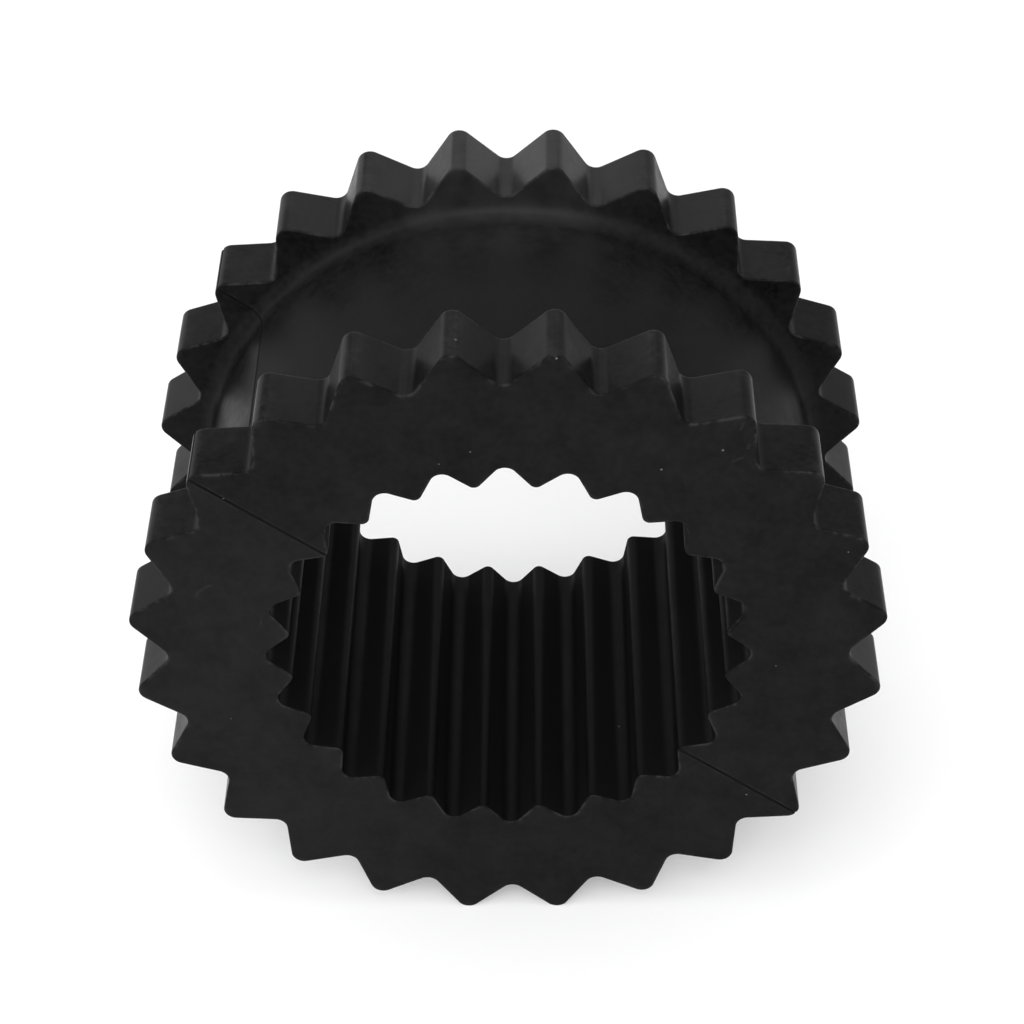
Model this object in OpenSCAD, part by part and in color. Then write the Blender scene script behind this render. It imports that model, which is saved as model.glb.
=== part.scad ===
/* [Sleeve] */
// Length along the axis, from end face to end face
sleeve_l = 63; // [46:0.5:140]
// Width of each toothed ring
ring_w = 12; // [8:0.5:20]
// Depth of the plain waist below the bottoms of the outer tooth gaps
waist_depth = 3.4; // [1.5:0.1:8]
// Radius of the hollow corners where the waist meets the rings
waist_fillet = 3; // [0.5:0.1:6]

/* [Outer teeth] */
// Number of teeth round each ring
outer_teeth = 24; // [18:1:30]
// Diameter over the tooth tips
outer_tip_d = 125; // [115:0.5:140]
// Depth of the outer teeth, from tip to gap bottom
outer_depth = 6.1; // [4:0.1:7]
// Radius of the rounded outer tooth tips
outer_tip_round = 2.2; // [0.8:0.1:2.8]
// Radius of the hollow bottoms of the outer tooth gaps
outer_gap_round = 2.1; // [0.8:0.1:2.8]

/* [Bore teeth] */
// Number of teeth round the bore
bore_teeth = 24; // [18:1:30]
// Diameter over the crests of the bore teeth, the widest shaft that passes
bore_crest_d = 72.5; // [60:0.5:76]
// Depth of the bore teeth, from crest to groove bottom
bore_depth = 3.7; // [2.5:0.1:4.5]
// Radius of the rounded crests of the bore teeth
bore_crest_round = 1.3; // [0.5:0.1:1.6]
// Radius of the hollow groove bottoms between the bore teeth
bore_groove_round = 2; // [0.8:0.1:2.4]

/* [Hidden] */
// Segments in each full circle of the drawn mesh
round_fn = 40;
waist_fn = 144;
// Both cutters run past the faces that they cut by this much
cutter_past = 1;
// Every round of a tooth overlaps the straight flanks beside it by this much, so that they
// meet in one clean edge
round_lap = 0.001;

outer_tip_r = outer_tip_d / 2;
outer_gap_r = outer_tip_r - outer_depth;
bore_crest_r = bore_crest_d / 2;
bore_groove_r = bore_crest_r + bore_depth;
waist_l = sleeve_l - 2 * ring_w;
waist_r = outer_gap_r - waist_depth;
// At least this much flat ring face stays between the hollow corner and the tooth gap bottoms
face_strip = 0.2;
corner_r = min(waist_fillet, waist_depth - face_strip);

// A point at radius r, turned by angle a from straight down
function from_below(r, a) = [r * sin(a), -r * cos(a)];

// Direction of the flank's normal, for the straight flank that touches a tip circle on one
// side and the next gap circle on its other side
function flank_turn(tip_c, gap_c, radii) =
    let (reach = gap_c - tip_c)
    atan2(reach.y, reach.x) - acos(radii / norm(reach));

function along(a) = [cos(a), sin(a)];

// Swaps left and right, then turns a point round the axis
function mirrored(p) = [-p.x, p.y];
function turned(p, a) = [p.x * cos(a) - p.y * sin(a), p.x * sin(a) + p.y * cos(a)];

// Outline of a ring of round-ended triangular teeth: straight flanks, a tip circle at each
// tooth and a gap circle between teeth. The first tooth points straight down before its turn.
module toothed_outline(teeth, tip_r, gap_r, tip_round, gap_round, turn) {
    pitch = 360 / teeth;
    tip_c = from_below(tip_r - tip_round, 0);
    gap_c = from_below(gap_r + gap_round, pitch / 2);
    tip_reach = tip_round - round_lap;
    gap_reach = gap_round - round_lap;
    normal = along(flank_turn(tip_c, gap_c, tip_reach + gap_reach));
    // Where the flank leaves the tip circle and where it meets the gap circle
    tip_end = tip_c + tip_reach * normal;
    gap_end = gap_c - gap_reach * normal;
    tooth = [mirrored(gap_end), mirrored(tip_end), tip_end, gap_end];
    rotate(turn)
    difference() {
        union() {
            polygon([for (k = [0:teeth - 1], p = tooth) turned(p, k * pitch)]);
            for (k = [0:teeth - 1])
                rotate(k * pitch)
                translate(tip_c)
                circle(r = tip_round, $fn = round_fn);
        }
        for (k = [0:teeth - 1])
            rotate(k * pitch)
            translate(gap_c)
            circle(r = gap_round, $fn = round_fn);
    }
}

// The toothed bar that both rings are left standing on, with an outer gap straight down
module toothed_bar() {
    linear_extrude(sleeve_l, center = true)
    toothed_outline(outer_teeth, outer_tip_r, outer_gap_r, outer_tip_round, outer_gap_round,
                    180 / outer_teeth);
}

// Half section of the groove between the rings, with hollow corners at its bottom
module waist_section() {
    depth = outer_tip_r - waist_r + cutter_past;
    translate([waist_r + corner_r, -waist_l / 2])
    square([depth - corner_r, waist_l]);
    translate([waist_r, corner_r - waist_l / 2])
    square([depth, waist_l - 2 * corner_r]);
    for (end = [-1, 1])
        translate([waist_r + corner_r, end * (waist_l / 2 - corner_r)])
        circle(r = corner_r, $fn = round_fn);
}

// Cutter for the plain waist, which leaves a toothed ring at each end
module waist_cutter() {
    rotate_extrude($fn = waist_fn)
    waist_section();
}

// Cutter for the toothed bore, with a groove straight down, in line with an outer gap
module bore_cutter() {
    linear_extrude(sleeve_l + 2 * cutter_past, center = true)
    toothed_outline(bore_teeth, bore_groove_r, bore_crest_r, bore_groove_round,
                    bore_crest_round, 0);
}

// The whole moulding lies on its outer teeth, with its axis along Y and its middle at the
// origin
module sleeve() {
    color("#1a1a1b")
    rotate([90, 0, 0])
    difference() {
        toothed_bar();
        waist_cutter();
        bore_cutter();
    }
}

sleeve();
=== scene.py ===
# %% [markdown]
# # A moulded rubber coupling sleeve
# The sleeve sits between two toothed flanges and turns them together. It is one piece of black
# rubber: two toothed rings joined by a plain waist, with teeth along the whole bore. The CAD
# model gives its sizes. Blender adds what a moulding has besides its form: broken edges, a
# parting line, slightly uneven walls and a rubber finish.

# %% Load the frame
import math

import bmesh
import bpy
from mathutils import Matrix, Vector


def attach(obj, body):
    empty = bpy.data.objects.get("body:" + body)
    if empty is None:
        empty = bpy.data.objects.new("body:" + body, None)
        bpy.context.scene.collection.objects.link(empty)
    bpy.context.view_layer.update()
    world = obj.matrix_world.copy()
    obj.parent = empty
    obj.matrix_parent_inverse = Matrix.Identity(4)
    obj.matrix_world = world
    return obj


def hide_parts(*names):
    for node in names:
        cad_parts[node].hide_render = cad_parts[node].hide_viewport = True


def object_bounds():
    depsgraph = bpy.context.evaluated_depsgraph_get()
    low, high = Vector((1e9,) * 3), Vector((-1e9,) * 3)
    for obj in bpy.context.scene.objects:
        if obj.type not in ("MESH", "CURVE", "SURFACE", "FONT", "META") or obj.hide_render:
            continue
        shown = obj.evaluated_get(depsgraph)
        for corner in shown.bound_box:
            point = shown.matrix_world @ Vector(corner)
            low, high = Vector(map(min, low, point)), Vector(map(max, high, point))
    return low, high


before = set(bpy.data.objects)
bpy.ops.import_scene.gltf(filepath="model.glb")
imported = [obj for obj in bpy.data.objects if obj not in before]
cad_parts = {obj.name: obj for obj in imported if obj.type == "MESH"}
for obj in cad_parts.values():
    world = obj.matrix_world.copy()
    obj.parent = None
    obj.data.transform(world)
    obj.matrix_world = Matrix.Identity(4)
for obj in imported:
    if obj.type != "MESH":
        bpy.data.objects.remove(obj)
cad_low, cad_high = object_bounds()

MM = 0.001
print("CAD box in mm:", [round(size / MM, 2) for size in cad_high - cad_low])

# %% [markdown]
# ## Sizes
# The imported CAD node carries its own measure: the farthest corner from the axis is a tooth tip
# and the nearest is a crest of the bore. So most sizes are read from it, and a change there
# reaches the Blender model. Only the small rounds can't be read from loose triangles, so they
# repeat the drawing. The axis is Y, and the sleeve lies on two teeth of each ring.

# %% Read the sleeve's sizes from the frame
TEETH = 24
TIP_ROUND = 2.2 * MM
GAP_ROUND = 2.1 * MM
CREST_ROUND = 1.3 * MM
GROOVE_ROUND = 2.0 * MM
CORNER_R = 3.0 * MM
ON_END_FACE = 0.1 * MM

corners = [vertex.co.copy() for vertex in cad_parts["sleeve"].data.vertices]


def axis_distance(point):
    return math.hypot(point.x, point.z)


END_Y = cad_high.y
TIP_R = max(axis_distance(p) for p in corners)
CREST_R = min(axis_distance(p) for p in corners)
RING_FACE_Y = min(abs(p.y) for p in corners if axis_distance(p) > TIP_R - TIP_ROUND)
# The hollow corners end on the waist, and the CAD mesh has no points between them there
WAIST_R = min(axis_distance(p) for p in corners
              if abs(p.y) < RING_FACE_Y and axis_distance(p) > (TIP_R + CREST_R) / 2)
end_radii = [axis_distance(p) for p in corners if abs(p.y) > END_Y - ON_END_FACE]
GAP_R = min(r for r in end_radii if r > WAIST_R)
GROOVE_R = max(r for r in end_radii if r < WAIST_R)
for label, size in (("half length", END_Y), ("ring face", RING_FACE_Y), ("tip", TIP_R),
                    ("gap", GAP_R), ("waist", WAIST_R), ("groove", GROOVE_R), ("crest", CREST_R)):
    print(f"{label}: {size / MM:.2f} mm")

# %% [markdown]
# ## Helpers for node trees
# A node tree built in a script is easier to read when a formula looks like a formula. `Value`
# wraps a socket, and each sign between two of them adds one Math node. `add` makes a node,
# sets its options and fills its sockets with numbers or with links.

# %% Nodes and formulas from the script
class Value:
    """A number or a vector inside a node tree."""

    def __init__(self, tree, socket):
        self.tree = tree
        self.socket = socket

    def __add__(self, other):
        return calc(self.tree, "ADD", self, other)

    def __sub__(self, other):
        return calc(self.tree, "SUBTRACT", self, other)

    def __rsub__(self, other):
        return calc(self.tree, "SUBTRACT", other, self)

    def __mul__(self, other):
        return calc(self.tree, "MULTIPLY", self, other)

    def __truediv__(self, other):
        return calc(self.tree, "DIVIDE", self, other)

    def __rtruediv__(self, other):
        return calc(self.tree, "DIVIDE", other, self)


def plug(tree, socket, value):
    """Fills a socket with a plain value, or links it to another socket."""
    if isinstance(value, Value):
        value = value.socket
    if isinstance(value, bpy.types.NodeSocket):
        tree.links.new(value, socket)
    else:
        socket.default_value = value


def add(tree, kind, inputs=None, **options):
    """Adds a node with its options, and fills the inputs that are named or numbered."""
    node = tree.nodes.new(kind)
    for name, value in options.items():
        setattr(node, name, value)
    for key, value in (inputs or {}).items():
        plug(tree, node.inputs[key], value)
    return node


def out(node, key=0):
    """One output of a node, as a Value."""
    return Value(node.id_data, node.outputs[key])


def calc(tree, operation, *values):
    """One Math node."""
    return out(add(tree, "ShaderNodeMath", dict(enumerate(values)), operation=operation))


def vector_calc(tree, operation, *values, output="Vector"):
    """One Vector Math node."""
    node = add(tree, "ShaderNodeVectorMath", dict(enumerate(values)), operation=operation)
    return out(node, output)


def new_group(name, kind, sockets):
    """A node group with named sockets, and its inputs as Values by name."""
    tree = bpy.data.node_groups.new(name, kind)
    for direction, socket_kind, title, default in sockets:
        socket = tree.interface.new_socket(title, in_out=direction, socket_type=socket_kind)
        if default is not None:
            socket.default_value = default
    given = tree.nodes.new("NodeGroupInput")
    return tree, {s.name: Value(tree, s) for s in given.outputs if s.name}


print("helpers ready")

# %% [markdown]
# ## The outline of the teeth
# Seen from the end, each row of teeth is a zigzag with straight flanks and rounded corners. It
# could be drawn point by point, but Blender's Star curve already is a zigzag, and Fillet Curve
# rounds its corners and leaves the flanks straight. The star's sharp corners then have to lie
# a little beyond the rounded tips. A flank touches the tip circle on one side and the gap
# circle on its other side, so its direction follows from the two centres, and where it crosses
# the middle lines of tooth and gap gives the corners. The group makes the outer teeth and the
# bore teeth alike: crests that point inwards only change one sign.

# %% Build the outline group
ARC_STEPS = 10
FLANK_CUTS = 3


def outline_group():
    tree, given = new_group("toothed_outline", "GeometryNodeTree", (
        ("INPUT", "NodeSocketInt", "Teeth", 24),
        ("INPUT", "NodeSocketFloat", "Tip radius", 0.06),
        ("INPUT", "NodeSocketFloat", "Gap radius", 0.055),
        ("INPUT", "NodeSocketFloat", "Tip round", 0.002),
        ("INPUT", "NodeSocketFloat", "Gap round", 0.002),
        ("OUTPUT", "NodeSocketGeometry", "Outline", None)))
    tip_round = given["Tip round"]
    gap_round = given["Gap round"]
    sign = calc(tree, "SIGN", given["Tip radius"] - given["Gap radius"])
    half_pitch = math.pi / given["Teeth"]
    # The way from the centre of a tip circle, which lies on X, to the next gap circle
    tip_x = given["Tip radius"] - sign * tip_round
    gap_reach = given["Gap radius"] + sign * gap_round
    across = gap_reach * calc(tree, "COSINE", half_pitch) - tip_x
    along = gap_reach * calc(tree, "SINE", half_pitch)
    apart = calc(tree, "SQRT", across * across + along * along)
    # The direction that the flank between them faces, and the flank's distance from the axis
    lean = calc(tree, "ARCCOSINE", (tip_round + gap_round) / apart)
    facing = calc(tree, "ARCTAN2", along, across) - sign * lean
    flank = tip_x * calc(tree, "COSINE", facing) + tip_round
    star = add(tree, "GeometryNodeCurveStar", {
        "Points": given["Teeth"],
        "Outer Radius": flank / calc(tree, "COSINE", facing),
        "Inner Radius": flank / calc(tree, "COSINE", facing - half_pitch)})
    corner_round = add(tree, "GeometryNodeSwitch", {
        "Switch": star.outputs["Outer Points"], "False": gap_round, "True": tip_round},
        input_type="FLOAT")
    rounded = add(tree, "GeometryNodeFilletCurve", {
        "Curve": star.outputs["Curve"], "Count": ARC_STEPS, "Radius": out(corner_round)},
        mode="POLY")
    # The last point of every arc starts a flank, and only flanks get more points
    in_arc = calc(tree, "FLOORED_MODULO", out(add(tree, "GeometryNodeInputIndex")), ARC_STEPS + 1)
    divided = add(tree, "GeometryNodeSubdivideCurve", {
        "Curve": out(rounded), "Cuts": calc(tree, "COMPARE", in_arc, ARC_STEPS, 0.5) * FLANK_CUTS})
    # From the star's own plane into the plane across the axis, with a gap straight down
    angles = add(tree, "ShaderNodeCombineXYZ", {"X": math.pi / 2, "Y": half_pitch})
    turn = add(tree, "FunctionNodeEulerToRotation", {0: out(angles)})
    turned = add(tree, "GeometryNodeTransform", {"Geometry": out(divided), "Rotation": out(turn)})
    add(tree, "NodeGroupOutput", {"Outline": out(turned)})
    return tree


TOOTHED_OUTLINE = outline_group()
print("points in an outline:", 2 * TEETH * (ARC_STEPS + 1 + FLANK_CUTS))

# %% [markdown]
# ## The section of the wall
# Cut along its axis, the wall shows a closed line: along the bore, over an end face, along the
# ring, down its inner face, round the hollow corner and along the waist. Each point of this
# line says how a row of the mesh is placed: its distance along the axis, whether it follows
# the outer teeth, the bore teeth or a plain circle, and how far it is drawn into the wall.
# Drawing rows in along a quarter circle breaks the edges, as on a real moulding, and a row
# close beside each broken edge keeps the flat faces flat under smooth shading. The rows on the
# broken edges also carry an edge share, which the finish uses later to paint them paler, partly as
# wear and partly as a painted highlight.

# %% Draw the section as a closed line with attributes
EDGE_BREAK = 0.3 * MM
EDGE_STEPS = 4
HOLD = 0.3 * MM
CORNER_STEPS = 8
BORE_ROWS = 8
RING_ROWS = 3
WAIST_ROWS = 5
# Shares of the bore's outline on the rows across an end face, close together at both rims
END_FACE_SHARES = (0.98, 0.85, 0.68, 0.5, 0.32, 0.15, 0.02)
RING_FACE_SHARES = (0.05, 0.35, 0.7)


def shares(steps):
    """Even shares from 0 to 1, both ends included."""
    return [k / steps for k in range(steps + 1)]


def spread(start, end, steps):
    """Rows from start to end with one close beside each end."""
    way = 1 if end > start else -1
    inner = [start + way * HOLD + (end - start - 2 * way * HOLD) * s for s in shares(steps)]
    return [start, *inner, end]


def broken_edge(radius, start_y, reach, bore_share, turns):
    """Rows round a broken edge: the skin turns from along the axis to across it, or back."""
    rows = []
    for turn in turns:
        rows.append((radius, start_y + reach * math.sin(turn),
                     EDGE_BREAK * (1 - math.cos(turn)), bore_share, 0,
                     0.5 + 0.5 * math.sin(2 * turn)))
    return rows


def half_section():
    """Rows from the middle of the bore over the low end to the middle of the waist, each as
    (radius, y, inset, bore share, circle share, edge share)."""
    rows = []
    bend_y = END_Y - EDGE_BREAK
    face_y = RING_FACE_Y
    corner_top = WAIST_R + CORNER_R
    quarter = [s * math.pi / 2 for s in shares(EDGE_STEPS)]
    for y in spread(0, -bend_y, BORE_ROWS)[:-1]:
        rows.append((GROOVE_R, y, 0, 1, 0, 0))
    rows += broken_edge(GROOVE_R, -bend_y, -EDGE_BREAK, 1, quarter)
    for share in END_FACE_SHARES:
        rows.append((WAIST_R, -END_Y, EDGE_BREAK, share, 0, 0))
    rows += broken_edge(TIP_R, -bend_y, -EDGE_BREAK, 0, quarter[::-1])
    for y in spread(-bend_y, -face_y - EDGE_BREAK, RING_ROWS)[1:-1]:
        rows.append((TIP_R, y, 0, 0, 0, 0))
    rows += broken_edge(TIP_R, -face_y - EDGE_BREAK, EDGE_BREAK, 0, quarter)
    for share in RING_FACE_SHARES:
        rows.append((corner_top, -face_y, EDGE_BREAK, 0, share, 0))
    for s in shares(CORNER_STEPS):
        turn = s * math.pi / 2
        rows.append((corner_top - CORNER_R * math.sin(turn),
                     -face_y + CORNER_R * (1 - math.cos(turn)), 0, 0, 1, 0))
    for y in spread(-face_y + CORNER_R, 0, WAIST_ROWS)[1:]:
        rows.append((WAIST_R, y, 0, 0, 1, 0))
    return rows


def section_object():
    front = half_section()
    # The other half mirrors this one, and the two rows at y = 0 are shared
    back = [(row[0], -row[1], *row[2:]) for row in front[-2:0:-1]]
    rows = front + back
    mesh = bpy.data.meshes.new("wall_section")
    mesh.from_pydata([(row[0], row[1], 0) for row in rows],
                     [(k, (k + 1) % len(rows)) for k in range(len(rows))], [])
    for column, name in enumerate(("inset", "bore_share", "circle_share", "edge_share"), 2):
        attribute = mesh.attributes.new(name, "FLOAT", "POINT")
        attribute.data.foreach_set("value", [row[column] for row in rows])
    made = bpy.data.objects.new("wall_section", mesh)
    bpy.context.scene.collection.objects.link(made)
    print("rows in the section:", len(rows))
    return made


wall_section = section_object()

# %% [markdown]
# ## Sweeping the section round the teeth
# A revolve can't make this wall, because its outside, its bore and its waist each have their
# own outline. So the tree takes a plain grid, with a row for each point of the section and a
# column for each point of the outlines, and sets every grid point in its place: a mix of the
# outer teeth, the bore teeth and a circle, at the row's place along the axis. Merge by Distance
# closes the grid both ways. A slow noise then draws the skin in by a few hundredths of a
# millimetre, as cooling rubber does, which keeps long reflections from looking ruled.

# %% Build the sweep tree
MERGE_WITHIN = 0.001 * MM


def sweep_tree():
    tree, given = new_group("sleeve_moulding", "GeometryNodeTree", (
        ("INPUT", "NodeSocketGeometry", "Section", None),
        ("INPUT", "NodeSocketInt", "Teeth", TEETH),
        ("INPUT", "NodeSocketFloat", "Tip radius", TIP_R),
        ("INPUT", "NodeSocketFloat", "Gap radius", GAP_R),
        ("INPUT", "NodeSocketFloat", "Tip round", TIP_ROUND),
        ("INPUT", "NodeSocketFloat", "Gap round", GAP_ROUND),
        ("INPUT", "NodeSocketFloat", "Crest radius", CREST_R),
        ("INPUT", "NodeSocketFloat", "Groove radius", GROOVE_R),
        ("INPUT", "NodeSocketFloat", "Crest round", CREST_ROUND),
        ("INPUT", "NodeSocketFloat", "Groove round", GROOVE_ROUND),
        ("INPUT", "NodeSocketFloat", "Shrink", 0.0),
        ("INPUT", "NodeSocketFloat", "Shrink size", 0.01),
        ("INPUT", "NodeSocketFloat", "Seed", 0.0),
        ("INPUT", "NodeSocketMaterial", "Finish", None),
        ("OUTPUT", "NodeSocketGeometry", "Moulding", None)))

    def outline(label, tip, gap):
        made = add(tree, "GeometryNodeGroup", node_tree=TOOTHED_OUTLINE)
        plug(tree, made.inputs["Teeth"], given["Teeth"])
        for socket, source in (("Tip radius", f"{tip} radius"), ("Gap radius", f"{gap} radius"),
                               ("Tip round", f"{tip} round"), ("Gap round", f"{gap} round")):
            plug(tree, made.inputs[socket], given[source])
        made.label = label
        return out(made)

    def sample(geometry, value, index, kind="FLOAT"):
        return out(add(tree, "GeometryNodeSampleIndex", {
            "Geometry": geometry, "Value": value, "Index": index}, data_type=kind))

    def count(geometry, component):
        node = add(tree, "GeometryNodeAttributeDomainSize", {"Geometry": geometry},
                   component=component)
        return out(node, "Point Count")

    outer = outline("outer teeth", "Tip", "Gap")
    bore = outline("bore teeth", "Crest", "Groove")
    row_count = count(given["Section"], "MESH")
    column_count = count(outer, "CURVE")
    grid = add(tree, "GeometryNodeMeshGrid", {
        "Vertices X": row_count + 1, "Vertices Y": column_count + 1})

    # Which row of the section and which point of the outlines a grid point stands for
    point = out(add(tree, "GeometryNodeInputIndex"))
    row = calc(tree, "FLOORED_MODULO",
               calc(tree, "FLOOR", point / (column_count + 1)), row_count)
    column = calc(tree, "FLOORED_MODULO",
                  calc(tree, "FLOORED_MODULO", point, column_count + 1), column_count)

    position = out(add(tree, "GeometryNodeInputPosition"))
    tangent = out(add(tree, "GeometryNodeInputTangent"))
    outward = vector_calc(tree, "CROSS_PRODUCT", (0, 1, 0), tangent)
    on_outer = sample(outer, position, column, "FLOAT_VECTOR")
    on_bore = sample(bore, position, column, "FLOAT_VECTOR")
    out_of_outer = sample(outer, outward, column, "FLOAT_VECTOR")
    out_of_bore = sample(bore, outward, column, "FLOAT_VECTOR")

    def from_section(name):
        attribute = add(tree, "GeometryNodeInputNamedAttribute", {"Name": name},
                        data_type="FLOAT")
        return sample(given["Section"], out(attribute), row)

    def mixed(a, b, share):
        node = add(tree, "ShaderNodeMix", {0: share, 4: a, 5: b}, data_type="VECTOR")
        return out(node, 1)

    def moved(start, direction, distance):
        shift = vector_calc(tree, "SCALE", direction)
        plug(tree, shift.socket.node.inputs["Scale"], distance)
        return vector_calc(tree, "ADD", start, shift)

    place = add(tree, "ShaderNodeSeparateXYZ", {
        0: sample(given["Section"], position, row, "FLOAT_VECTOR")})
    inset = from_section("inset")
    centre = (0, 0, 0)
    ray = vector_calc(tree, "NORMALIZE", on_outer)
    ring_point = mixed(moved(on_outer, out_of_outer, 0 - inset),
                       moved(centre, ray, out(place, "X")), from_section("circle_share"))
    wall_point = mixed(ring_point, moved(on_bore, out_of_bore, inset),
                       from_section("bore_share"))
    placed = add(tree, "GeometryNodeSetPosition", {
        "Geometry": out(grid, "Mesh"),
        "Position": moved(wall_point, (0, 1, 0), out(place, "Y"))})
    marked = add(tree, "GeometryNodeStoreNamedAttribute", {
        "Geometry": out(placed), "Name": "edge_share", "Value": from_section("edge_share")},
        data_type="FLOAT", domain="POINT")
    closed = add(tree, "GeometryNodeMergeByDistance", {
        "Geometry": out(marked), "Distance": MERGE_WITHIN})

    noise = add(tree, "ShaderNodeTexNoise", {
        "W": given["Seed"], "Scale": 1 / given["Shrink size"], "Detail": 1.0},
        noise_dimensions="4D")
    pull = calc(tree, "MINIMUM", calc(tree, "MAXIMUM", out(noise, 0) * 2 - 0.5, 0), 1)
    normal = out(add(tree, "GeometryNodeInputNormal"))
    uneven = add(tree, "GeometryNodeSetPosition", {
        "Geometry": out(closed),
        "Offset": moved(centre, normal, 0 - pull * given["Shrink"])})
    smooth = add(tree, "GeometryNodeSetShadeSmooth", {"Geometry": out(uneven)})
    real = add(tree, "GeometryNodeRealizeInstances", {"Geometry": out(smooth)})
    finished = add(tree, "GeometryNodeSetMaterial", {
        "Geometry": out(real), "Material": given["Finish"]})
    add(tree, "NodeGroupOutput", {"Moulding": out(finished)})
    return tree


SWEEP = sweep_tree()
print("sweep tree nodes:", len(SWEEP.nodes))

# %% [markdown]
# ## From the tree to a mesh
# The modifier gets its sizes by the sockets' identifiers, and the evaluated result becomes a
# plain mesh. A closed wall has two faces at every edge, and its volume should be close to that
# of the CAD solid, a little less for the broken edges.

# %% Evaluate the sweep
SHRINK = 0.05 * MM
SHRINK_SIZE = 14 * MM
SEED = 3.7


def set_input(modifier, title, value):
    for socket in modifier.node_group.interface.items_tree:
        if socket.name == title and socket.in_out == "INPUT":
            modifier[socket.identifier] = value


rubber = bpy.data.materials.new("sleeve_rubber")
rubber.use_nodes = True

sweep = wall_section.modifiers.new("sweep", "NODES")
sweep.node_group = SWEEP
for title, value in (("Shrink", SHRINK), ("Shrink size", SHRINK_SIZE), ("Seed", SEED),
                     ("Finish", rubber)):
    set_input(sweep, title, value)

depsgraph = bpy.context.evaluated_depsgraph_get()
sleeve_mesh = bpy.data.meshes.new_from_object(wall_section.evaluated_get(depsgraph))
sleeve_mesh.name = "moulded_sleeve"
# Set Material leaves an empty slot in front of its own, so the slots are made anew
sleeve_mesh.materials.clear()
sleeve_mesh.materials.append(rubber)
sleeve_mesh.polygons.foreach_set("material_index", [0] * len(sleeve_mesh.polygons))
bpy.data.objects.remove(wall_section)
moulded_sleeve = bpy.data.objects.new("moulded_sleeve", sleeve_mesh)
bpy.context.scene.collection.objects.link(moulded_sleeve)
print("faces:", len(sleeve_mesh.polygons))

# %% [markdown]
# ## The parting line
# The two halves of the mould meet on a plane through the axis, and the moulding keeps a fine
# line there, over both end faces, the teeth and the waist. The bore has none, because a single
# core makes it. A texture could only darken the place, so the line is cut into the mesh: three
# cuts along the plane make a strip half a millimetre wide, and its middle is pressed in, more
# towards the rim, where the mould halves close last.

# %% Cut the parting line
PARTING_ANGLE = math.radians(127.5)
PARTING_HALF = 0.28 * MM
PARTING_DEPTH = 0.16 * MM
PARTING_DEPTH_AT_BORE = 0.07 * MM
# A point this close to a cut is moved onto it, and one a little farther counts as on it
CUT_SNAP = 0.02 * MM
ON_CUT = 0.03 * MM
ON_END = 0.05 * MM
# In the mould's plane, up to the left, and square to it
parting_along = Vector((-math.sin(PARTING_ANGLE), 0, -math.cos(PARTING_ANGLE)))
parting_across = Vector((parting_along.z, 0, -parting_along.x))


def cut_parting_line(mesh):
    body = bmesh.new()
    body.from_mesh(mesh)
    for offset in (-PARTING_HALF, PARTING_HALF, 0):
        everything = body.verts[:] + body.edges[:] + body.faces[:]
        bmesh.ops.bisect_plane(body, geom=everything, dist=CUT_SNAP,
                               plane_co=parting_across * offset, plane_no=parting_across)
    body.normal_update()
    on_line = [v for v in body.verts if abs(v.co.dot(parting_across)) < ON_CUT
               and (axis_distance(v.co) > GROOVE_R or abs(v.co.y) > END_Y - ON_END)]
    pressed = [(v, v.normal.copy()) for v in on_line]
    for vertex, normal in pressed:
        share = (axis_distance(vertex.co) - GROOVE_R) / (TIP_R - GROOVE_R)
        vertex.co -= normal * (PARTING_DEPTH_AT_BORE
                               + (PARTING_DEPTH - PARTING_DEPTH_AT_BORE) * share)
    bmesh.ops.recalc_face_normals(body, faces=body.faces[:])
    open_edges = sum(len(edge.link_faces) != 2 for edge in body.edges)
    print("points pressed in:", len(pressed), "open edges:", open_edges)
    print("volume in cm3:", round(body.calc_volume(signed=True) / (10 * MM) ** 3, 2))
    body.to_mesh(mesh)
    body.free()
    mesh.polygons.foreach_set("use_smooth", [True] * len(mesh.polygons))
    mesh.update()


cut_parting_line(sleeve_mesh)
print("triangles:", sum(len(p.vertices) - 2 for p in sleeve_mesh.polygons))

# %% [markdown]
# ## The rubber's skin, one effect at a time
# Black rubber looks plain from afar, but a close look finds much in it: clouds where the mould's
# release agent dried, a fine grain, paler edges that are partly wear and partly a painted
# highlight, a little dust and a few faint marks.
# Each is a node group with its sizes as inputs, so the material further down reads like a list
# of what the eye finds. They all start from Object coordinates, because the sleeve has no
# natural seam to unwrap it along.

# %% Clouds and grain
def noise(tree, place, size, seed, detail):
    """Noise with lumps of about the given size, around 0.5."""
    moved = vector_calc(tree, "ADD", place, (seed, seed, seed))
    return out(add(tree, "ShaderNodeTexNoise", {
        "Vector": moved, "Scale": 1 / size, "Detail": detail, "Roughness": 0.6}))


def ramp(tree, value, low, high):
    """Rises smoothly from 0 at low to 1 at high, or falls where low is the larger one."""
    node = add(tree, "ShaderNodeMapRange", {
        "Value": value, "From Min": low, "From Max": high}, interpolation_type="SMOOTHSTEP")
    return out(node)


def clouds_group():
    tree, given = new_group("rubber_clouds", "ShaderNodeTree", (
        ("INPUT", "NodeSocketVector", "Place", None),
        ("INPUT", "NodeSocketFloat", "Size", 0.012),
        ("INPUT", "NodeSocketFloat", "Shift", 0.0),
        ("OUTPUT", "NodeSocketFloat", "Clouds", None)))
    shifted = vector_calc(tree, "ADD", given["Place"], given["Shift"])
    lumps = noise(tree, shifted, given["Size"], 0.0, 4.0)
    add(tree, "NodeGroupOutput", {"Clouds": ramp(tree, lumps, 0.34, 0.66)})
    return tree


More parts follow.
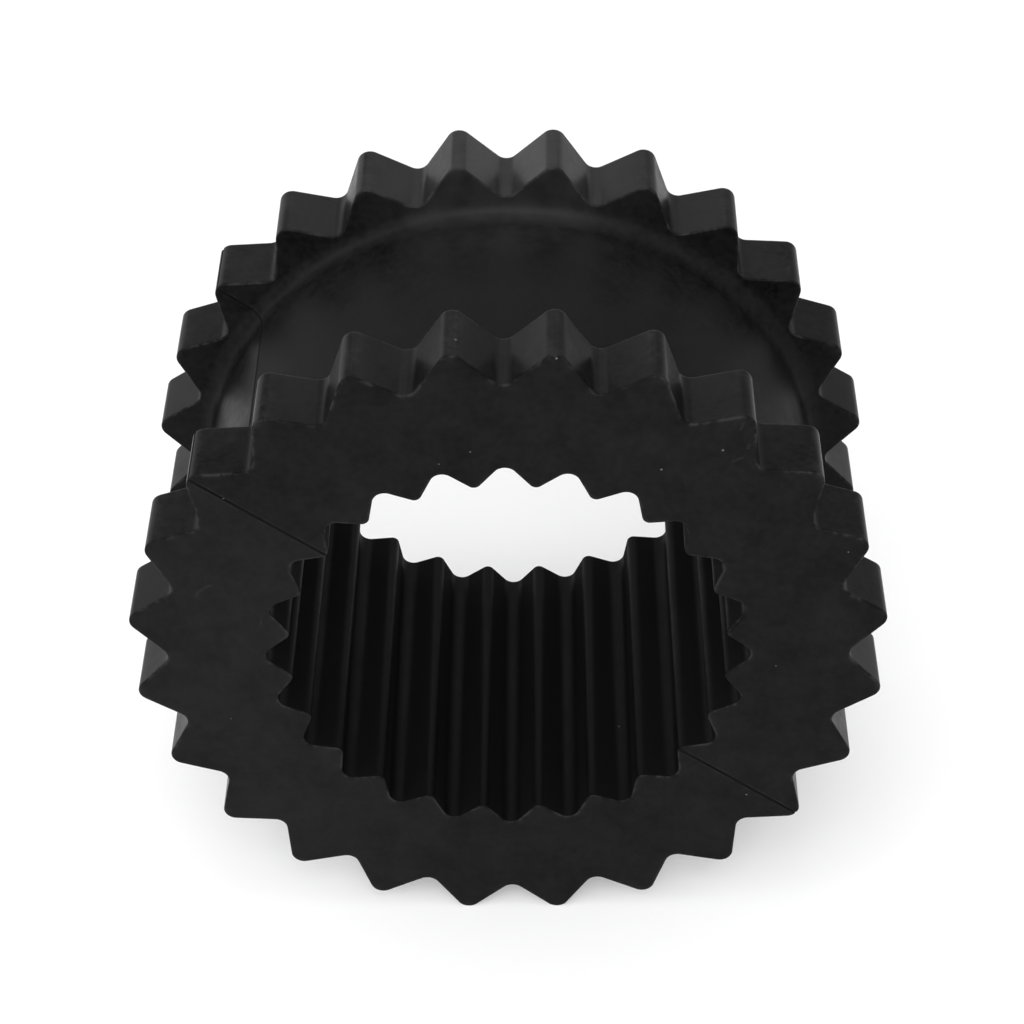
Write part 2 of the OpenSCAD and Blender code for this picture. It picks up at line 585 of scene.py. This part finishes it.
def grain_group():
    tree, given = new_group("rubber_grain", "ShaderNodeTree", (
        ("INPUT", "NodeSocketVector", "Place", None),
        ("INPUT", "NodeSocketFloat", "Grain size", 0.0003),
        ("INPUT", "NodeSocketFloat", "Grain height", 0.000002),
        ("INPUT", "NodeSocketFloat", "Wave size", 0.004),
        ("INPUT", "NodeSocketFloat", "Wave height", 0.00001),
        ("OUTPUT", "NodeSocketFloat", "Height", None)))
    grain = noise(tree, given["Place"], given["Grain size"], 1.3, 1.0)
    waves = noise(tree, given["Place"], given["Wave size"], 8.1, 1.0)
    add(tree, "NodeGroupOutput", {
        "Height": grain * given["Grain height"] + waves * given["Wave height"]})
    return tree


CLOUDS = clouds_group()
GRAIN = grain_group()
print("groups:", CLOUDS.name, GRAIN.name)

# %% [markdown]
# ## Marks, dust and the line between the mould halves
# A mark is a short stroke between two points, and a speck is a stroke whose ends are nearly the
# same point, so one group draws both: it measures how far the surface is from the nearest point
# of the stroke. Dust that nobody needs to place is left to a Voronoi texture, which gives each
# small room in space a random colour; only few rooms get a speck. The parting line needs the
# distance to the mould's plane and nothing else; the finish uses it for painted shade in the
# groove and a painted highlight on its lips.

# %% Build the groups for marks, dust and the parting line
def mark_group():
    tree, given = new_group("rub_mark", "ShaderNodeTree", (
        ("INPUT", "NodeSocketVector", "Place", None),
        ("INPUT", "NodeSocketVector", "Start", None),
        ("INPUT", "NodeSocketVector", "End", None),
        ("INPUT", "NodeSocketFloat", "Width", 0.0003),
        ("INPUT", "NodeSocketFloat", "Ragged", 0.5),
        ("OUTPUT", "NodeSocketFloat", "Mark", None)))
    way = vector_calc(tree, "SUBTRACT", given["End"], given["Start"])
    reach = vector_calc(tree, "SUBTRACT", given["Place"], given["Start"])
    share = vector_calc(tree, "DOT_PRODUCT", reach, way, output="Value") / vector_calc(
        tree, "DOT_PRODUCT", way, way, output="Value")
    share = calc(tree, "MINIMUM", calc(tree, "MAXIMUM", share, 0), 1)
    along = vector_calc(tree, "SCALE", way)
    plug(tree, along.socket.node.inputs["Scale"], share)
    far = vector_calc(tree, "DISTANCE", reach, along, output="Value")
    edge = given["Width"] * (given["Ragged"] + 0.5)
    add(tree, "NodeGroupOutput", {"Mark": ramp(tree, far, edge, edge * 0.3)})
    return tree


def dust_group():
    tree, given = new_group("loose_dust", "ShaderNodeTree", (
        ("INPUT", "NodeSocketVector", "Place", None),
        ("INPUT", "NodeSocketFloat", "Room size", 0.006),
        ("INPUT", "NodeSocketFloat", "Share", 0.5),
        ("INPUT", "NodeSocketFloat", "Speck radius", 0.00015),
        ("OUTPUT", "NodeSocketFloat", "Dust", None)))
    rooms = add(tree, "ShaderNodeTexVoronoi", {
        "Vector": given["Place"], "Scale": 1 / given["Room size"]})
    luck = add(tree, "ShaderNodeSeparateColor", {"Color": rooms.outputs["Color"]})
    chosen = calc(tree, "LESS_THAN", out(luck, "Red"), given["Share"])
    radius = given["Speck radius"] / given["Room size"] * (out(luck, "Green") + 0.4)
    speck = ramp(tree, out(rooms, "Distance"), radius, radius * 0.5)
    add(tree, "NodeGroupOutput", {"Dust": speck * chosen})
    return tree


def parting_group():
    tree, given = new_group("parting_line", "ShaderNodeTree", (
        ("INPUT", "NodeSocketVector", "Place", None),
        ("INPUT", "NodeSocketVector", "Across", None),
        ("INPUT", "NodeSocketFloat", "Half width", 0.00025),
        ("INPUT", "NodeSocketFloat", "Patchy", 0.5),
        ("OUTPUT", "NodeSocketFloat", "Line", None),
        ("OUTPUT", "NodeSocketFloat", "Lip highlight", None),
        ("OUTPUT", "NodeSocketFloat", "Side", None)))
    signed = vector_calc(tree, "DOT_PRODUCT", given["Place"], given["Across"], output="Value")
    off = calc(tree, "ABSOLUTE", signed)
    half = given["Half width"]
    # The lips beside the groove, which the finish lightens as a painted highlight
    lip_highlight = ramp(tree, off, half * 2.6, half * 1.3) * ramp(tree, off, half * 0.8, half * 1.3)
    add(tree, "NodeGroupOutput", {
        "Line": ramp(tree, off, half * 1.1, half * 0.6),
        "Lip highlight": lip_highlight * given["Patchy"],
        "Side": ramp(tree, signed, half, half * -1.0)})
    return tree


MARK = mark_group()
DUST = dust_group()
PARTING = parting_group()
print("groups:", MARK.name, DUST.name, PARTING.name)

# %% [markdown]
# ## The rubber
# Carbon black makes the rubber nearly as dark as things get, so much of what the eye sees of it
# is gloss. One roughness for the whole sleeve would look like plastic: the waist and the end
# faces are duller than the teeth and the hollow corners, and inside the bore only the crests and
# the groove bottoms, which the steel teeth touch, are smooth. The top of the far ring is painted a
# little grey as a painted highlight, and the near face is painted paler towards the left as
# painted light from the left. Inside the bore the colour is darkened as painted shade. The parting
# line's groove is darkened as painted shade, with a painted highlight on its lips, and the broken
# edges are painted paler, partly as wear and partly as a painted highlight. The clouds vary tone
# and roughness both.
# Specular level and the other even values stay on the shader's own sockets.

# %% Mix the rubber
RUBBER_DARK = (0.0026, 0.0026, 0.0028, 1)
RUBBER_PALE = (0.0130, 0.0129, 0.0127, 1)
# wear on the tips, wear and a painted highlight on the broken edges
WEAR_AND_GLINT_COLOUR = (0.034, 0.0335, 0.0325, 1)
# painted highlight at the top of the far ring
TOP_HIGHLIGHT_COLOUR = (0.021, 0.021, 0.0215, 1)
# painted shade in the parting line's groove
LINE_SHADE_COLOUR = (0.0010, 0.0010, 0.0010, 1)
DUST_COLOUR = (0.14, 0.135, 0.125, 1)
SPECULAR_LEVEL = 0.056
TOOTH_ROUGHNESS = 0.34
END_ROUGHNESS = 0.44
WAIST_ROUGHNESS = 0.57
CORNER_ROUGHNESS = 0.36
FLANK_ROUGHNESS = 0.85
CREST_ROUGHNESS = 0.50

# Where each zone sets in and where it is whole, measured from the face or radius it belongs to
END_ZONE = (-0.30 * MM, -0.12 * MM)
BORE_ZONE = (1 * MM, 0)
WAIST_ZONE = (0, -0.5 * MM)
CORNER_ZONE = (0.1 * MM, 0.6 * MM)
CREST_ZONE = (0.9 * MM, 0.2 * MM)
GROOVE_ZONE = (-1.1 * MM, -0.4 * MM)
TIP_ZONE = (-1.6 * MM, -0.3 * MM)
# The same for the painted highlight at the top of the far ring, by half width, height and depth,
# and for the painted light on the left of the near face, by width
TOP_HIGHLIGHT_X = (27 * MM, 9 * MM)
TOP_HIGHLIGHT_Z = (47 * MM, 54 * MM)
TOP_HIGHLIGHT_Y = (4 * MM, 20 * MM)
LEFT_LIGHT_X = (12 * MM, -50 * MM)

# How much each pattern lightens the rubber, and how much the bore is darkened as painted shade
CLOUD_TONE = 0.20
SMUDGE_TONE = 0.18
MOTTLE_TONE = 0.26
# painted highlight on the parting line's lips
LIP_HIGHLIGHT_TONE = 0.35
# painted light from the left on the near face
LEFT_LIGHT_TONE = 0.2
# painted highlight at the top of the far ring
TOP_HIGHLIGHT_TONE = 0.8
# wear on the tips, wear and a painted highlight on the broken edges
WEAR_AND_GLINT_TONE = 0.6
TIP_WEAR = 0.24
# painted shade inside the bore
BORE_PAINTED_SHADE = 0.8
END_MOTTLE_LOSS = 0.3

# How much each changes the roughness
CLOUDS_ROUGHEN = 0.06
WEAR_SMOOTHS = 0.10
LOWER_HALF_SMOOTHER = 0.18
LINE_ROUGHENS = 0.3
DUST_ROUGHENS = 0.3

# Start, end and width in mm, and how strongly each shows
PALE_MARKS = (
    ((-50.4, -31.5, 13.4), (-50.2, -31.5, 14.3), 0.35, 0.6),
    ((-50.2, -31.5, 14.4), (-49.3, -31.5, 14.9), 0.35, 0.6),
    ((-48.9, -31.5, 15.3), (-48.0, -31.5, 15.8), 0.35, 0.6),
    ((35.4, -31.5, 41.1), (36.9, -31.5, 41.9), 0.35, 0.5),
    ((37.7, -31.5, 43.8), (37.8, -31.5, 44.4), 0.45, 0.5),
    ((36.4, -31.5, 47.5), (36.8, -31.5, 48.7), 0.35, 0.5),
    ((-40.4, -31.5, 7.2), (-40.3, -31.5, 8.2), 0.25, 0.6))
DARK_MARKS = (
    ((36.5, -31.5, 5.1), (38.5, -31.5, 8.2), 0.30, 0.8),
    ((38.5, -31.5, 8.2), (39.0, -31.5, 10.2), 0.30, 0.5))
SPECKS = ((24.4, -31.5, 39.6), (33.8, -31.5, 43.4), (40.7, -31.5, -33.3), (-44.4, -31.5, 34.1),
          (19.9, 17.6, 49.6), (-7.2, -27.2, 61.8), (8.1, -31.5, 61.4))
SPECK_WIDTH_MM = 0.22
SPECK_LENGTH_MM = 0.05
SPECK_STRENGTH = 0.8


def millimetres(point):
    return tuple(size * MM for size in point)


def blended(tree, share, first, second):
    """One colour mixed into another."""
    return out(add(tree, "ShaderNodeMix", {0: share, 6: first, 7: second}, data_type="RGBA"), 2)


def finish_rubber():
    tree = rubber.node_tree
    tree.nodes.clear()
    place = out(add(tree, "ShaderNodeTexCoord"), "Object")

    def effect(group, inputs):
        return out(add(tree, "ShaderNodeGroup", {"Place": place, **inputs}, node_tree=group))

    def zone(value, start, offsets):
        return ramp(tree, value, start + offsets[0], start + offsets[1])

    # Where on the sleeve
    axes = add(tree, "ShaderNodeSeparateXYZ", {0: place})
    x, y, z = (out(axes, name) for name in "XYZ")
    along = calc(tree, "ABSOLUTE", y)
    radius = vector_calc(tree, "LENGTH", vector_calc(tree, "MULTIPLY", place, (1, 0, 1)),
                         output="Value")
    on_end = zone(along, END_Y, END_ZONE)
    in_bore = zone(radius, GROOVE_R, BORE_ZONE) * (1 - on_end)
    on_waist = zone(along, RING_FACE_Y, WAIST_ZONE) * (1 - in_bore)
    in_corner = on_waist * zone(radius, WAIST_R, CORNER_ZONE)
    on_crest = zone(radius, CREST_R, CREST_ZONE)
    in_groove = zone(radius, GROOVE_R, GROOVE_ZONE)
    on_tip = zone(radius, TIP_R, TIP_ZONE)
    touched = calc(tree, "MAXIMUM", on_crest, in_groove) * in_bore

    # What is on it
    clouds = effect(CLOUDS, {"Size": 16 * MM, "Shift": 0.2})
    smudges = effect(CLOUDS, {"Size": 5 * MM, "Shift": 0.9})
    mottle = effect(CLOUDS, {"Size": 1.2 * MM, "Shift": 0.5})
    ragged = noise(tree, place, 0.5 * MM, 0.0, 1.0)
    edge = out(add(tree, "ShaderNodeAttribute", attribute_name="edge_share"), "Fac")
    patches = ramp(tree, smudges * 0.55 + mottle * 0.45, 0.35, 0.90)
    # Paler broken edges and tips: wear on the tips, wear and a painted highlight on the edges
    wear_and_glint = calc(tree, "MAXIMUM", edge, on_tip * TIP_WEAR) * patches

    def stroke(start, end, width, strength):
        return effect(MARK, {"Start": millimetres(start), "End": millimetres(end),
                             "Width": width * MM, "Ragged": ragged}) * strength

    dust = effect(DUST, {"Room size": 6 * MM, "Share": 0.4, "Speck radius": 0.12 * MM})
    for speck in SPECKS:
        end = (speck[0] + SPECK_LENGTH_MM, *speck[1:])
        dust = calc(tree, "MAXIMUM", dust, stroke(speck, end, SPECK_WIDTH_MM, SPECK_STRENGTH))
    parting = add(tree, "ShaderNodeGroup", {
        "Place": place, "Across": tuple(parting_across), "Half width": PARTING_HALF,
        "Patchy": smudges}, node_tree=PARTING)
    line, lip_highlight, side = (out(parting, name) * (1 - in_bore) for name in ("Line", "Lip highlight", "Side"))
    # Painted light: the near face is lightened towards the left, on one side of the parting line
    painted_left_light = ramp(tree, x, *LEFT_LIGHT_X) * side * on_end
    # Painted highlight: the top of the far ring is lightened
    top_highlight = (ramp(tree, calc(tree, "ABSOLUTE", x), *TOP_HIGHLIGHT_X)
             * ramp(tree, z, *TOP_HIGHLIGHT_Z) * ramp(tree, y, *TOP_HIGHLIGHT_Y)
             * (smudges * 0.4 + 0.6) * (1 - on_end))
    # Painted shade darkens the parting line's groove; the dark marks added after it are real marks
    line_shade_and_marks = line * (smudges * 0.4 + 0.4)
    for mark in DARK_MARKS:
        line_shade_and_marks = calc(tree, "MAXIMUM", line_shade_and_marks, stroke(*mark))
    pale = (clouds * CLOUD_TONE + smudges * SMUDGE_TONE
            + mottle * (1 - on_end * END_MOTTLE_LOSS) * MOTTLE_TONE
            + lip_highlight * LIP_HIGHLIGHT_TONE + painted_left_light * LEFT_LIGHT_TONE)
    for mark in PALE_MARKS:
        pale = pale + stroke(*mark)

    # What that does to the light
    # Painted shade: inside the bore the rubber keeps its darkest colour
    colour = blended(tree, pale * (1 - in_bore * BORE_PAINTED_SHADE), RUBBER_DARK, RUBBER_PALE)
    colour = blended(tree, top_highlight * TOP_HIGHLIGHT_TONE, colour, TOP_HIGHLIGHT_COLOUR)
    colour = blended(tree, wear_and_glint * (1 - in_bore) * WEAR_AND_GLINT_TONE, colour, WEAR_AND_GLINT_COLOUR)
    colour = blended(tree, line_shade_and_marks, colour, LINE_SHADE_COLOUR)
    colour = blended(tree, dust, colour, DUST_COLOUR)
    roughness = (on_end * (END_ROUGHNESS - TOOTH_ROUGHNESS)
                 + on_waist * (WAIST_ROUGHNESS - TOOTH_ROUGHNESS)
                 + in_corner * (CORNER_ROUGHNESS - WAIST_ROUGHNESS)
                 + in_bore * (FLANK_ROUGHNESS - TOOTH_ROUGHNESS)
                 + touched * (CREST_ROUGHNESS - FLANK_ROUGHNESS) + TOOTH_ROUGHNESS
                 + (clouds + smudges + mottle - 1.5) * CLOUDS_ROUGHEN - wear_and_glint * WEAR_SMOOTHS
                 - side * (on_waist - in_corner) * LOWER_HALF_SMOOTHER
                 + line * LINE_ROUGHENS + dust * DUST_ROUGHENS)
    height = effect(GRAIN, {"Grain size": 0.35 * MM, "Grain height": 0.005 * MM,
                            "Wave size": 3.5 * MM, "Wave height": 0.015 * MM})
    bump = add(tree, "ShaderNodeBump", {"Height": height, "Distance": 1.0})
    skin = add(tree, "ShaderNodeBsdfPrincipled", {
        "Base Color": colour, "Roughness": roughness, "Normal": out(bump),
        "Specular IOR Level": SPECULAR_LEVEL})
    add(tree, "ShaderNodeOutputMaterial", {"Surface": out(skin)})
    print("nodes in the rubber:", len(tree.nodes))


finish_rubber()

# %% [markdown]
# ## One piece, one body
# The visual mesh takes the place of the CAD node, which stays in the physics model. It rides on
# the root body, because nothing in a coupling sleeve moves by itself.

# %% Hand the sleeve to the frame
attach(moulded_sleeve, "root")
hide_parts("sleeve")
print("piece:", moulded_sleeve.name)

# %% [markdown]
# ## Floor and surroundings
# The sleeve lies on white paper in a white studio. Lamps that make the paper white everywhere
# would also drown the shadows, so the camera and the reflections are given a share of plain
# white by Light Path: a little near the sleeve, where the shadow has to stay, and all of it far
# off, where the paper runs into the backdrop.

# %% Lay the floor and light the surroundings
FLOOR_REACH = 3.0
PAPER_COLOUR = (0.94, 0.94, 0.94, 1)
WHITE_NEAR = 0.24
WHITE_FAR = 1.0
WHITE_FROM = 0.25
WHITE_TO = 1.2
STUDIO_LIGHT = 0.66


def seen_directly(tree):
    """1 for the camera's rays and for what glossy or clear things show, 0 for other light."""
    path = add(tree, "ShaderNodeLightPath")
    return calc(tree, "MAXIMUM", out(path, "Is Camera Ray"), calc(
        tree, "MAXIMUM", out(path, "Is Glossy Ray"), out(path, "Is Transmission Ray")))


def floor_material():
    made = bpy.data.materials.new("white_paper")
    made.use_nodes = True
    tree = made.node_tree
    tree.nodes.clear()
    place = out(add(tree, "ShaderNodeTexCoord"), "Object")
    far = ramp(tree, vector_calc(tree, "LENGTH", place, output="Value"), WHITE_FROM, WHITE_TO)
    share = far * (WHITE_FAR - WHITE_NEAR) + WHITE_NEAR
    paper = add(tree, "ShaderNodeBsdfDiffuse", {"Color": PAPER_COLOUR})
    white = add(tree, "ShaderNodeEmission", {"Color": (1, 1, 1, 1), "Strength": 1.0})
    mix = add(tree, "ShaderNodeMixShader", {
        0: seen_directly(tree) * share, 1: out(paper), 2: out(white)})
    add(tree, "ShaderNodeOutputMaterial", {"Surface": out(mix)})
    return made


def make_floor():
    mesh = bpy.data.meshes.new("floor")
    z = cad_low.z
    r = FLOOR_REACH
    mesh.from_pydata([(-r, -r, z), (r, -r, z), (r, r, z), (-r, r, z)], [], [(0, 1, 2, 3)])
    mesh.materials.append(floor_material())
    made = bpy.data.objects.new("floor", mesh)
    bpy.context.scene.collection.objects.link(made)
    print("floor at", round(z / MM, 2), "mm")


def make_world():
    world = bpy.data.worlds.new("studio")
    bpy.context.scene.world = world
    world.use_nodes = True
    tree = world.node_tree
    tree.nodes.clear()
    path = add(tree, "ShaderNodeLightPath")
    strength = out(path, "Is Camera Ray") * (1 - STUDIO_LIGHT) + STUDIO_LIGHT
    light = add(tree, "ShaderNodeBackground", {"Color": (1, 1, 1, 1), "Strength": strength})
    add(tree, "ShaderNodeOutputWorld", {"Surface": out(light)})


make_floor()
make_world()

# %% [markdown]
# ## Lamps
# Black rubber is lit by what it mirrors. The softbox in front stands close above the camera's
# line of sight, where the far hollow corner mirrors it as a narrow lit band. Two strips close
# behind the sleeve light the far teeth, and the waist hardly sees them. The others fill in from
# the sides, from above and from the back left. Each lamp is given by its glow, the brightness
# that a mirror would show, and its power follows from its area.

# %% Place the softboxes
def softbox(name, place, aim, size, glow):
    lamp = bpy.data.lights.new(name, "AREA")
    lamp.shape = "RECTANGLE"
    lamp.size, lamp.size_y = size
    lamp.energy = glow * math.pi * size[0] * size[1]
    made = bpy.data.objects.new(name, lamp)
    made.location = place
    made.rotation_mode = "QUATERNION"
    made.rotation_quaternion = (Vector(aim) - Vector(place)).to_track_quat("-Z", "Y")
    bpy.context.scene.collection.objects.link(made)
    print(name, "power in W:", round(lamp.energy, 3))


MIDDLE = (0, 0, 0)
FAR_TEETH = (0, 0.0255, 0.058)
for name, place, aim, size, glow in (
        ("front_softbox", (0, -0.9, 0.9), MIDDLE, (0.7, 0.8), 4.6),
        ("front_left_softbox", (-0.9, -0.6, 0.7), MIDDLE, (0.8, 0.8), 2.6),
        ("front_right_softbox", (0.9, -0.6, 0.7), MIDDLE, (0.8, 0.8), 0.8),
        ("low_front_softbox", (0, -1.1, 0.25), MIDDLE, (1.0, 0.4), 0.8),
        ("low_left_softbox", (-1.0, 0, 0.2), MIDDLE, (0.6, 0.3), 0.8),
        ("overhead_softbox", (0, 0, 1.1), MIDDLE, (0.6, 0.6), 1.2),
        ("back_left_softbox", (-0.6, 0.9, 0.15), MIDDLE, (0.5, 0.25), 1.1),
        ("near_low_strip", (0, 0.13, 0.0675), FAR_TEETH, (0.16, 0.045), 1.0),
        ("near_high_strip", (0, 0.13, 0.135), FAR_TEETH, (0.12, 0.05), 1.5),
        ("near_left_lamp", (-0.16, 0.01, 0.085), (-0.04, 0, 0.03), (0.06, 0.09), 0.9),
        ("near_right_lamp", (0.16, 0.01, 0.11), (0.04, 0, 0.03), (0.06, 0.05), 0.2)):
    softbox(name, place, aim, size, glow)

# %% [markdown]
# ## The camera
# The photograph was taken from about half a metre, looking down by 40 degrees onto the near end.
# The place and the turn were found by fitting the tooth tips of both rings, and the long lens
# keeps the far ring nearly as large as the near one.

# %% Set up the camera
CAMERA_PLACE = Vector((0.00692, -0.360648, 0.311241))
LOOK = Vector((-0.01362, 0.76145, -0.64808)).normalized()
SIDE = Vector((0.99989, 0.00701, -0.01277)).normalized()
LENS_MM = 96.32
SENSOR_MM = 36


def make_camera():
    data = bpy.data.cameras.new("camera")
    data.lens = LENS_MM
    data.sensor_width = SENSOR_MM
    made = bpy.data.objects.new("camera", data)
    up = SIDE.cross(LOOK)
    made.matrix_world = Matrix((
        (SIDE.x, up.x, -LOOK.x, CAMERA_PLACE.x),
        (SIDE.y, up.y, -LOOK.y, CAMERA_PLACE.y),
        (SIDE.z, up.z, -LOOK.z, CAMERA_PLACE.z),
        (0, 0, 0, 1)))
    bpy.context.scene.collection.objects.link(made)
    bpy.context.scene.camera = made
    print("camera looks down by", round(math.degrees(math.asin(-LOOK.z)), 1), "degrees")


make_camera()
bpy.context.scene.view_settings.view_transform = "Standard"
